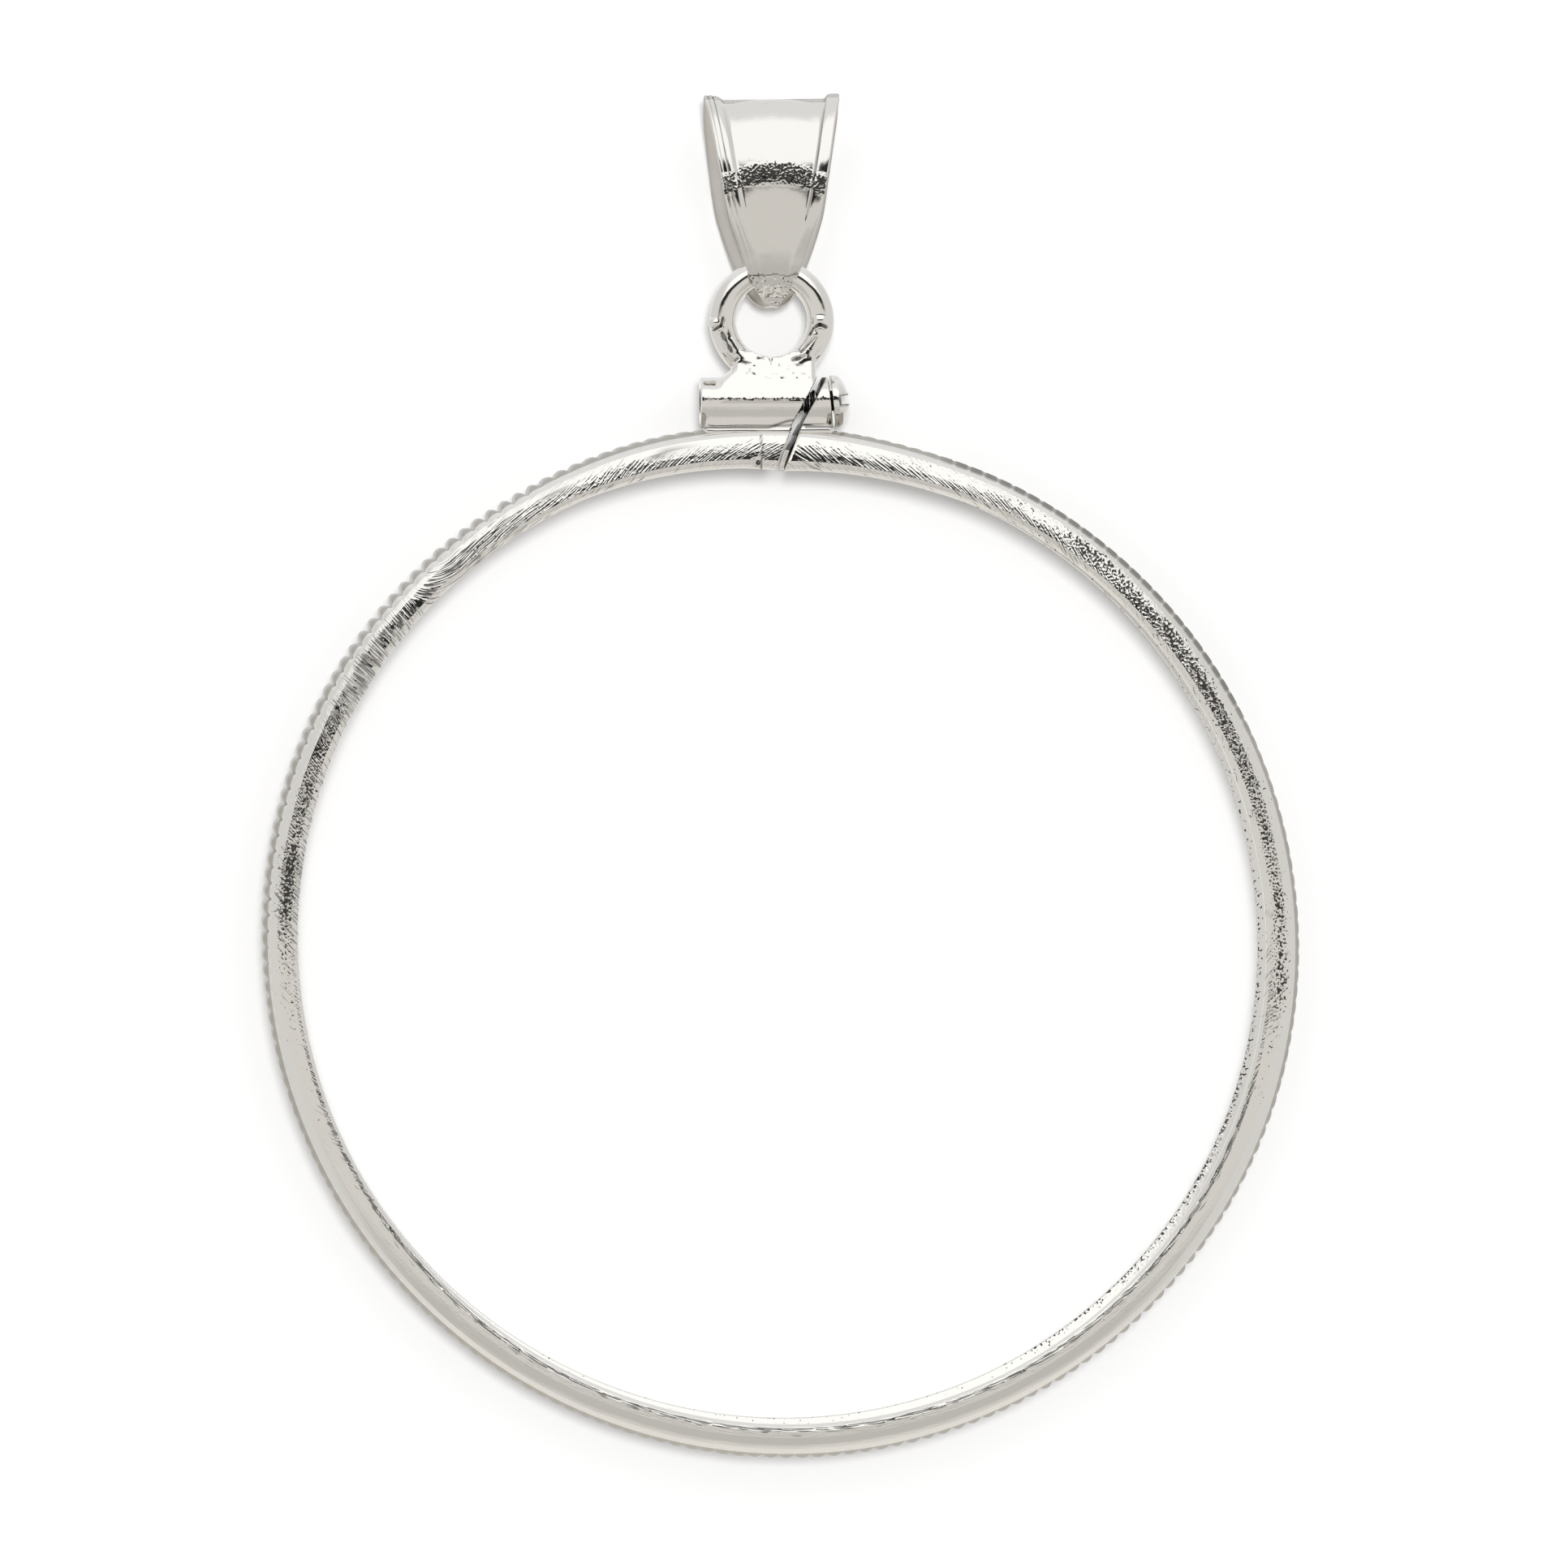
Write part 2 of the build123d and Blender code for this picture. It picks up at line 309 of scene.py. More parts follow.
def rounded(corners, fine):
    """A polyline with each corner (x, y, radius, steps) rounded. A fine one has a point beside
    each sharp arc, which keeps the flats flat in smooth shading."""
    path = []
    sharpest = 0.08
    count = len(corners)
    for n, (x, y, radius, steps) in enumerate(corners):
        here = np.array([x, y])
        if radius == 0 or n in (0, count - 1):
            path.append(here)
            continue
        before = np.array(corners[n - 1][:2]) - here
        after = np.array(corners[n + 1][:2]) - here
        before /= np.linalg.norm(before)
        after /= np.linalg.norm(after)
        half = math.acos(np.clip(before @ after, -1, 1)) / 2
        reach = radius / math.tan(half)
        start = here + before * reach
        end = here + after * reach
        beside = fine and radius < sharpest
        if beside:
            path.append(start + before * radius * 0.4)
        for s in np.linspace(0, 1, (steps if fine else (steps + 1) // 2) + 1):
            # A quadratic curve through the corner's two tangent points
            path.append((1 - s) ** 2 * start + 2 * s * (1 - s) * here + s**2 * end)
        if beside:
            path.append(end + after * radius * 0.4)
    return np.array(path)


# Ring

def lip_profile(fine):
    """Half the ring's section, from the channel floor round to the band. Each corner is its
    radius, its height above the middle, its rounding and the steps of that."""
    return rounded([
        (SEAT_RADIUS, 0.0, 0, 0),
        (SEAT_RADIUS, CHANNEL_HALF, 0.09, 1),
        (LIP_RADIUS + 0.03, 1.655, 0.03, 2),
        (LIP_RADIUS, 1.74, 0.04, 2),
        (LIP_RADIUS + 0.035, 1.865, 0.07, 2),
        (LIP_RADIUS + 0.15, 1.962, 0.07, 3),
        (LIP_RADIUS + 0.30, 2.004, 0.04, 3),
        (LIP_RADIUS + 0.56, 1.945, 0.14, 2),
        (LIP_RADIUS + 0.84, 1.865, 0.16, 2),
        (LIP_RADIUS + 1.05, 1.735, 0.14, 2),
        (RIM_RADIUS - 0.03, 1.60, 0.06, 2),
        (RIM_RADIUS, 1.50, 0.06, 1),
        (RIM_RADIUS + 0.06, 1.455, 0.04, 2),
        (CREST_RADIUS, 1.20, 0.10, 2),
        (CREST_RADIUS, 0.0, 0, 0),
    ], fine)


def cut_turn(radius, side):
    """Angle at which a circle of that radius meets a face of the saw cut."""
    middle = CUT_SHIFT * math.cos(CUT_ANGLE) - BARREL_Y * math.sin(CUT_ANGLE)
    return np.arccos((middle + side * CUT_HALF) / radius) - CUT_ANGLE


def channel_ring(materials):
    """The ring: its section swept from one face of the saw cut round to the other. The
    materials are the lips', the band's and the saw cut's."""
    upper = lip_profile(True)
    lower = lip_profile(False)[-2:0:-1] * [1, -1]
    section = np.vstack([upper, lower])
    radius, height = section[:, 0], section[:, 1]
    columns = len(section)
    on_band_column = radius > RIM_RADIUS + 0.02
    across = length_along(section)

    # Each scallop has a few steps, and those by the closing seam have more
    counts = [STEPS_PER_SCALLOP] * (SCALLOPS - SCALLOPS_BY_SEAM)
    counts += [STEPS_BY_SEAM] * SCALLOPS_BY_SEAM
    scallop = np.append(np.repeat(np.arange(SCALLOPS), counts), SCALLOPS - 1)[:, None]
    phase = np.concatenate([np.arange(count) / count for count in counts] + [[1.0]])[:, None]
    steps = len(scallop) - 1
    turn = (scallop + phase) / SCALLOPS
    right = cut_turn(LIP_RADIUS, 1)
    left = cut_turn(LIP_RADIUS, -1) - 2 * math.pi
    lip_angle = right + (left - right) * turn
    # Both ends slant with the cut
    slant = smooth(turn, 0.03, 0.0) * (cut_turn(radius, 1) - right)
    slant = slant + smooth(turn, 0.97, 1.0) * (cut_turn(radius, -1) - 2 * math.pi - left)
    angle = lip_angle + slant
    clock = (90 - np.degrees(angle)) % 360
    from_top = (clock + 180) % 360 - 180
    radius = np.broadcast_to(radius, angle.shape).copy()
    height = np.broadcast_to(height, angle.shape).copy()

    # Scallops: arcs that meet in sharp valleys, no two quite alike
    uneven = 1 + 0.30 * lattice(scallop, 0 * scallop, 0 * scallop, 41)
    lobe = 1 - np.abs(2 * phase - 1) ** along_table(clock, LOBE_POWER)
    on_band = smooth(radius, RIM_RADIUS + 0.02, RIM_RADIUS + 0.14)
    radius -= on_band * along_table(clock, SCALLOP_DEPTH) * uneven * (1 - lobe)
    near_rim = ridge(radius, RIM_RADIUS, 0.10) * smooth(np.abs(height), 1.3, 1.45)
    tooth = near_rim * span(clock, *TOOTHED) * (1 - lobe) ** 2
    radius -= 0.10 * tooth * uneven
    height -= np.sign(height) * tooth * 0.07

    # Hand finishing leaves the lips a little uneven
    lip = smooth(np.abs(height), CHANNEL_HALF, CHANNEL_HALF + 0.20)
    x, y = radius * np.cos(angle), radius * np.sin(angle)
    wave = grain(x, y, height, 2.3, 5)
    ripple = grain(x, y, height, 0.7, 6)
    height -= np.sign(height) * lip * (0.008 * (1 + wave) + 0.006 * (1 + ripple))

    # The strip was bent round by hand, so the ring is a little oval, and its lips are drawn
    # in beside the cut
    turned = np.radians(clock)
    oval = -0.058 * np.cos(2 * turned) - 0.174 * np.sin(2 * turned)
    oval = oval - 0.10 * ridge(from_top, 15, 10) + 0.06 * ridge(from_top, -15, 9)
    inward = np.clip((LIP_RADIUS + 1.1 - radius) / 1.1, 0, 1)
    radius += oval - along_table(from_top, DRAWN_IN) * lip * inward

    # Closing seam of the strip, left of the cut, with a pit at its inner end
    x, y = radius * np.cos(angle), radius * np.sin(angle)
    seam = ridge(x, SEAM_X, 0.035) * (y > 0)
    wedge = smooth(x, SEAM_X - 0.03, SEAM_X + 0.04) * (y > 0) * (turn > 0.5)
    height -= np.sign(height) * lip * (seam * 0.06 + wedge * 0.025)
    pit = ridge(x, SEAM_PIT_X, 0.1) * ridge(y, SEAM_PIT_Y, 0.1) * (height > 0)
    height -= pit * 0.20

    # How the strokes of the brush run, from their lean along the ring
    run = turn * 2 * math.pi * STROKE_RADIUS
    lean = np.radians(along_table((90 - np.degrees(lip_angle)) % 360, STROKE_LEAN))
    gap = np.diff(run, axis=0, prepend=run[:1])
    along = across * np.sin(lean) + np.cumsum(np.cos(lean) * gap, axis=0)
    athwart = across * np.cos(lean) - np.cumsum(np.sin(lean) * gap, axis=0)
    strokes = np.stack([along, athwart], axis=-1).reshape(-1, 2)

    # Pits lie mostly in a stripe along each lip. Inside the channel the strip keeps its plain
    # drawn surface.
    depth = (radius - oval - LIP_RADIUS) / (RIM_RADIUS - LIP_RADIUS)
    patchy = 0.75 + 0.5 * grain(x, y, height, 1.6, 7)
    brushed = 0.1 + 0.9 * lip
    stripe = 0.30 + 0.75 * ridge(depth, along_table(clock, SPECKLED_STRIPE), 0.22)
    speckle = along_table(clock, SPECKLING) * patchy * stripe * brushed
    crown_streaks = span(clock, *STREAKED) * ridge(depth, 0.19, 0.10)
    speckle = np.maximum(speckle, 0.35 * crown_streaks * brushed)
    inner_wall = (height < -1.5) & (depth < 0.25)
    speckle = np.where(inner_wall, np.maximum(speckle, along_table(clock, WALL_PITS)), speckle)

    # The brush took the inner half of the lips more than the outer one
    inner_half = 0.45 + 0.55 * smooth(depth, 0.85, 0.60)
    hatch = along_table(clock, HATCHING) * patchy * inner_half
    hatch = np.maximum(hatch, 1.2 * crown_streaks) * brushed

    # A wavy dark line is painted on the lips left of the cut, a painted reflection of the dark
    # slit, and dark is painted in the seam and its pit. The flat plates of the band at the upper
    # right are painted darker too, with a bright nick between them.
    wavy = 0.60 + 0.06 * np.sin(turned * 23) + 0.05 * wave
    painted_slit_reflection = ridge(depth, wavy, 0.035) * span(from_top, *PAINTED_SLIT_REFLECTION)
    bevel = smooth(radius - oval, RIM_RADIUS - 0.04, RIM_RADIUS)
    plates = span(clock, *PLATED) * bevel * smooth(np.abs(phase - 0.5), 0.42, 0.30)
    residue_and_painted_shade = 0.55 * painted_slit_reflection + 0.9 * seam * lip + 0.40 * plates + 0.8 * (pit > 0.3)
    marks = {
        "speckle": np.clip(speckle, 0, 1.3),
        "hatch": np.clip(hatch, 0, 2.2),
        "residue_and_painted_shade": np.clip(residue_and_painted_shade, 0, 1),
    }

    points = np.stack([x, y, height], axis=-1).reshape(-1, 3)
    is_band = on_band_column & np.roll(on_band_column, -1)
    # The two faces that the saw left are dark with painted shade
    face_material = np.tile(is_band.astype(np.int32), steps).tolist() + [2, 2]
    return piece("channel_ring", points, closed_faces(steps + 1, columns), "frame", materials,
                 strokes, marks, face_material)


# Voxel forms: signed distance on a grid, negative inside

def blend_in(a, b, reach):
    """Joins two forms with a fillet of about that reach."""
    h = np.clip(0.5 + 0.5 * (b - a) / reach, 0, 1)
    return b * (1 - h) + a * h - reach * h * (1 - h)


def round_edge(a, b, radius):
    """The rounded edge where two faces of a form meet."""
    return np.hypot(np.maximum(a + radius, 0), np.maximum(b + radius, 0)) - radius


def rounded_box(x, y, z, half, radius):
    """Distance to a box about the origin with rounded edges."""
    qx, qy, qz = (np.abs(c) - h + radius for c, h in zip((x, y, z), half))
    outside = np.sqrt(np.maximum(qx, 0) ** 2 + np.maximum(qy, 0) ** 2 + np.maximum(qz, 0) ** 2)
    return outside + np.minimum(np.maximum(qx, np.maximum(qy, qz)), 0) - radius


def cast(name, form, low, high, voxel, body, materials, marks):
    """A piece from a distance function, meshed on a grid and then drawn onto the true surface."""
    axes = [np.arange(a, b + voxel, voxel) for a, b in zip(low, high)]
    distance = form(*np.meshgrid(*axes, indexing="ij")).astype(np.float32)
    limit = 3 * voxel
    grid = openvdb.FloatGrid(limit)
    grid.copyFromArray(np.clip(distance, -limit, limit))
    points, quads = grid.convertToQuads(0.0)
    points = points.astype(np.float64) * voxel + np.array(low)
    probe = 0.004
    for _ in range(3):
        off = form(*points.T)
        rise = np.stack([form(*(points + probe * side).T) - off for side in np.eye(3)], axis=-1)
        rise = rise / probe
        steep = np.linalg.norm(rise, axis=1, keepdims=True) + 1e-6
        points -= rise / steep * np.clip(off[:, None] / steep, -voxel / 2, voxel / 2)
    return piece(name, points, quads.tolist(), body, materials, marks=marks(*points.T),
                 normals=rise / steep)


def barrel_form(x, y, z):
    """Barrel with its worn ends, on the saddle of solder down to the band, and the uneven
    bead of solder over the ring's rim."""
    up = y - BARREL_Y
    round_barrel = np.hypot(up, z) - BARREL_RADIUS
    # The right end is parallel to the screw's head
    right_end = BARREL_RIGHT - 0.02 - math.tan(HEAD_TILT) * up
    ends = np.maximum(BARREL_LEFT - x, x - right_end)
    sharp = np.maximum(round_barrel, ends)
    worn = np.maximum(round_edge(round_barrel, ends, END_ROUNDING), sharp)
    barrel = np.where(sharp < -END_ROUNDING, sharp, worn)
    saddle = rounded_box(x - SADDLE_X, y - SADDLE_Y, z, SADDLE_HALF, 0.14)
    barrel = blend_in(barrel, saddle, 0.16)
    flow = grain(x, 0 * y, 0 * z, 0.9, 14)
    past_end = np.maximum(np.abs(x - BEAD_X) - BEAD_HALF, 0)
    below, out = up + BEAD_DROP - 0.03 * flow, np.abs(z) - BEAD_Z
    bead = np.sqrt(past_end**2 + below**2 + out**2) - (BEAD_RADIUS + 0.04 * flow)
    return blend_in(barrel, bead, 0.08)


def loop_form(x, y, z):
    """Wire loop on its neck, which slopes down from the barrel to the wire, and flares out
    over the barrel's left."""
    from_middle = np.hypot(x - LOOP_X, y - LOOP_Y)
    wire = np.hypot(from_middle - LOOP_MEAN, z) - WIRE_RADIUS
    flare = 0.55 * smooth(y, 23.75, 23.05) * (x < LOOP_X)
    side = np.abs(x - NECK_X) - NECK_HALF - flare
    face = (np.abs(z) - along_table(y, NECK_SLOPE)) * 0.95
    neck = np.maximum(round_edge(side, face, 0.30), np.maximum(side, face))
    neck = np.maximum(neck, np.maximum(NECK_FOOT - y, y - NECK_TOP))
    hole = LOOP_MEAN - WIRE_RADIUS + 0.02 - from_middle
    return blend_in(wire, np.maximum(neck, hole), 0.10)


def from_crack(x, y, crack):
    """Distance from a crack's line, seen from the front."""
    ax, ay, bx, by = crack
    dx, dy = bx - ax, by - ay
    share = np.clip(((x - ax) * dx + (y - ay) * dy) / (dx**2 + dy**2), 0, 1)
    return np.hypot(x - ax - share * dx, y - ay - share * dy)


def from_cut(x, up):
    """How far right of the middle of the slanting saw cut a place lies."""
    return (x - CUT_SHIFT) * math.cos(CUT_ANGLE) - up * math.sin(CUT_ANGLE)


def barrel_and_loop_form(x, y, z):
    """Barrel, wire loop and the solder that joins them, with the bore and the saw cut."""
    up = y - BARREL_Y
    body = blend_in(barrel_form(x, y, z), loop_form(x, y, z), 0.24)

    # Lumps of solder on the wire, with cracks at their edges
    for px, py, pz, size in SOLDER_LUMPS:
        lump = np.sqrt((x - px) ** 2 + (y - py) ** 2 + (z - pz) ** 2) - size
        body = blend_in(body, lump, 0.05)
    soldered = span(y, *SOLDERED)
    body = body + (0.003 + 0.007 * soldered) * grain(x, y, z, 0.45, 11)
    body = body + (0.001 + 0.004 * soldered) * grain(x, y, z, 0.16, 12)
    ragged = 0.05 * grain(x, y, z, 0.24, 15)
    for crack in CRACKS:
        body = body + 0.07 * ridge(from_crack(x, y, crack) + ragged, 0, 0.05)

    # Notch where the wire's ends meet, bore, and saw cut, which closes up a little at the top
    notch = np.maximum(np.abs(x + 0.42) - 0.16 * (y - 23.78), np.maximum(23.80 - y, y - 24.4))
    bore = np.hypot(up, z) - BORE_RADIUS
    across = from_cut(x, up)
    closing = 0.13 * smooth(up, 0.25, 1.0)
    cut = np.maximum(-CUT_HALF - across, across - (CUT_HALF - closing))
    cut = np.maximum(cut, up - 1.02)
    for hollow in (notch, bore, cut):
        body = np.maximum(body, -hollow)
    # The ring's own place below is left to the ring
    return np.maximum(body, FITTINGS_FOOT - y)


def solder_marks(x, y, z):
    """Where the solder is grainy, where the cracks and the joint are dark, and where the saw cut
    and the bore are darkened with painted shade.
    """
    up = y - BARREL_Y
    rough = span(y, *SOLDERED) * smooth(grain(x, y, z, 0.8, 16), -0.5, 0.5)
    ragged = 0.05 * grain(x, y, z, 0.24, 15)
    cracked = np.zeros_like(x)
    for crack in CRACKS:
        dark = 0.95 * ridge(from_crack(x, y, crack) + ragged, 0, 0.032)
        cracked = np.maximum(cracked, dark)
    # Under the barrel the joint keeps a thin dark line, which rises towards the cut
    line = -1.06 + 0.30 * smooth(x, -0.7, 0.5)
    joint = ridge(up, line, 0.05) * (x < 0.6) + ridge(up, -1.03, 0.05) * (x > 0.9)
    # Painted shade in the saw cut and in the bore
    painted_shade_in_cut = smooth(np.abs(from_cut(x, up)), CUT_HALF + 0.03, CUT_HALF) * smooth(up, 1.15, 1.05)
    painted_shade_in_bore = smooth(np.hypot(up, z), BORE_RADIUS + 0.03, BORE_RADIUS)
    residue_and_painted_shade = np.clip(cracked + 0.75 * joint + painted_shade_in_cut + painted_shade_in_bore, 0, 1)
    # A row of fine pits runs along the front of the barrel, with dark flecks painted among them as
    # a painted reflection of the dark slit
    pits_and_painted_slit_line = 0.9 * ridge(up, 0.13, 0.10) * (np.abs(x + 0.6) < 2.6) * (z > 0)
    return {"speckle": 0.05 + 0.22 * rough + pits_and_painted_slit_line, "residue_and_painted_shade": residue_and_painted_shade}


def head_place(x, up):
    """Where a place lies along and across the screw's head, which leans a little."""
    along = (x - HEAD_SEAT) * math.cos(HEAD_TILT) + up * math.sin(HEAD_TILT)
    across = -(x - HEAD_SEAT) * math.sin(HEAD_TILT) + up * math.cos(HEAD_TILT)
    return along, across


def clamp_screw_form(x, y, z):
    """Threaded shank, and a domed slotted head that leans a little."""
    up = y - BARREL_Y
    radius = np.hypot(up, z)
    turn = np.arctan2(z, up) / (2 * math.pi)
    phase = (x / THREAD_PITCH - turn) % 1.0
    crest = 1 - np.abs(2 * phase - 1)
    thread = SCREW_ROOT + (SCREW_RADIUS - 0.01 - SCREW_ROOT) * smooth(crest, 0.15, 0.85)
    shank = (radius - thread) * 0.6
    shank = np.maximum(shank, SCREW_TIP + 0.25 * np.maximum(radius - 0.2, 0) - x)
    shank = np.maximum(shank, x - HEAD_SEAT - 0.2)

    along, across = head_place(x, up)
    out = np.hypot(across, z)
    dome = np.hypot(along - (HEAD_HEIGHT - DOME_RADIUS), out) - DOME_RADIUS
    side = out - HEAD_RADIUS
    head = np.maximum(np.maximum(side, 0.02 - along), dome)
    head = np.maximum(head, round_edge(side, dome, HEAD_ROUNDING))
    head = head + 0.006 * grain(x, y, z, 0.3, 21)
    slot_side = np.abs(across - SLOT_SHIFT) - SLOT_HALF - 0.02 * grain(x, y, z, 0.2, 22)
    slot = np.maximum(slot_side, HEAD_HEIGHT - SLOT_DEPTH - along)
    return np.minimum(shank, np.maximum(head, -slot))


def screw_marks(x, y, z):
    """The thread, most in its grooves, and the sawn slot of the head are darkened with painted
    shade.
    """
    up = y - BARREL_Y
    along, across = head_place(x, up)
    from_slot = np.abs(across - SLOT_SHIFT)
    slot = smooth(from_slot, SLOT_HALF + 0.12, SLOT_HALF - 0.02) * (along > 0.25)
    patchy = 0.75 + 0.5 * grain(x, y, z, 0.3, 23)
    groove = smooth(np.hypot(up, z), SCREW_RADIUS - 0.02, SCREW_ROOT + 0.01)
    shank = (0.35 + 0.55 * groove) * (x < HEAD_SEAT - 0.03)
    residue_and_painted_shade = np.clip(np.maximum(shank, slot * patchy), 0, 1)
    return {"speckle": np.full_like(x, 0.3), "residue_and_painted_shade": residue_and_painted_shade}


# Bail

def touching(across, up, radius):
    """Where an arc that is level at (0, up) touches inside a circle at (across, 0)."""
    arc = (across**2 + up**2 - radius**2) / (2 * (up - radius))
    reach = math.hypot(across, arc - up)
    return radius * across / reach, radius * (arc - up) / reach, arc


def arc_points(x, y, radius, start, stop, count):
    """Points on an arc about (x, y), from one angle to another."""
    turns = np.linspace(start, stop, count)
    return [(x + radius * math.cos(t), y + radius * math.sin(t)) for t in turns]


def bail_side(rise, half_depth, fold, eye):
    """One half of the bail's side view as points (height, depth), from the fold to the tip."""
    top = rise - fold
    fx, fy, arc = touching(top - BAIL_BELLY, half_depth, fold)
    path = arc_points(top, 0, fold, 0, math.atan2(fy, fx), 60)
    centre = half_depth - arc
    end = math.atan2(fy - centre, top + fx - BAIL_BELLY)
    path += arc_points(BAIL_BELLY, centre, arc, end, math.pi / 2, 60)[1:]
    ex, ey, arc = touching(-BAIL_BELLY, half_depth, eye)
    centre = half_depth - arc
    end = math.atan2(ey - centre, ex - BAIL_BELLY)
    path += arc_points(BAIL_BELLY, centre, arc, math.pi / 2, end, 80)[1:]
    reach = math.hypot(BACK_TIP, TIP_HALF)
    stop = math.atan2(TIP_HALF, -BACK_TIP) - math.acos(eye / reach)
    path += arc_points(0, 0, eye, math.atan2(ey, ex), stop, 50)[1:]
    # A straight run down to the tip
    x, y = path[-1]
    path += [(x + (-BACK_TIP - x) * t, y + (TIP_HALF - y) * t) for t in np.linspace(0, 1, 14)[1:]]
    return np.array(path)


def evenly(path, step):
    """Points along a path at even steps."""
    length = length_along(path)
    at = np.linspace(0, length[-1], int(length[-1] / step) + 1)
    return np.stack([np.interp(at, length, path[:, c]) for c in (0, 1)], axis=-1)


def leaf_half_width(leaf, tip, height):
    """Half width of a leaf at a height above the wire, with its round tip."""
    start, base = leaf[0]
    dense = np.linspace(start, leaf[-1][0], 500)
    coarse = along_table(dense, leaf)
    kernel = np.hanning(61)
    before, after = 2 * coarse[0] - coarse[60:0:-1], 2 * coarse[-1] - coarse[-2:-62:-1]
    padded = np.concatenate([before, coarse, after])
    even = np.convolve(padded, kernel / kernel.sum(), mode="same")[60:-60]
    width = np.interp(height, dense, even)
    drop = start + tip
    radius = (base**2 + drop**2) / (2 * drop)
    below = np.sqrt(np.maximum(radius**2 - (height - (radius - tip)) ** 2, 0))
    return np.where(height < start, np.minimum(below, width), width)


# The rails across the sheet, from each edge inwards: (distance, share of the rail's height).
# The left one has two ridges with a groove between them, and the right one is plain.
LEFT_RAIL = [
    (0, 0.72), (0.03, 0.92), (0.09, 1.0), (0.15, 0.88), (0.19, 0.90), (0.28, 1.0), (0.325, 0.97),
    (0.35, 0.70), (0.38, 0.82), (0.46, 0.84), (0.60, 0.62), (0.74, 0.12), (0.80, 0.0), (9, 0.0),
]
RIGHT_RAIL = [
    (0, 0.72), (0.03, 0.92), (0.10, 1.0), (0.40, 0.96), (0.49, 0.84), (0.53, 0.55), (0.60, 0.08),
    (0.64, 0.0), (9, 0.0),
]
# The sheet has a row of points at each of these distances from its two edges
LEFT_STATIONS = [
    0, 0.012, 0.03, 0.06, 0.09, 0.12, 0.14, 0.16, 0.19, 0.24, 0.28, 0.31, 0.33, 0.35, 0.37, 0.39,
    0.46, 0.53, 0.60, 0.67, 0.74, 0.77, 0.80, 0.85,
]
RIGHT_STATIONS = [
    0, 0.012, 0.03, 0.06, 0.10, 0.18, 0.26, 0.34, 0.40, 0.44, 0.47, 0.49, 0.51, 0.53, 0.56, 0.60,
    0.64, 0.70,
]


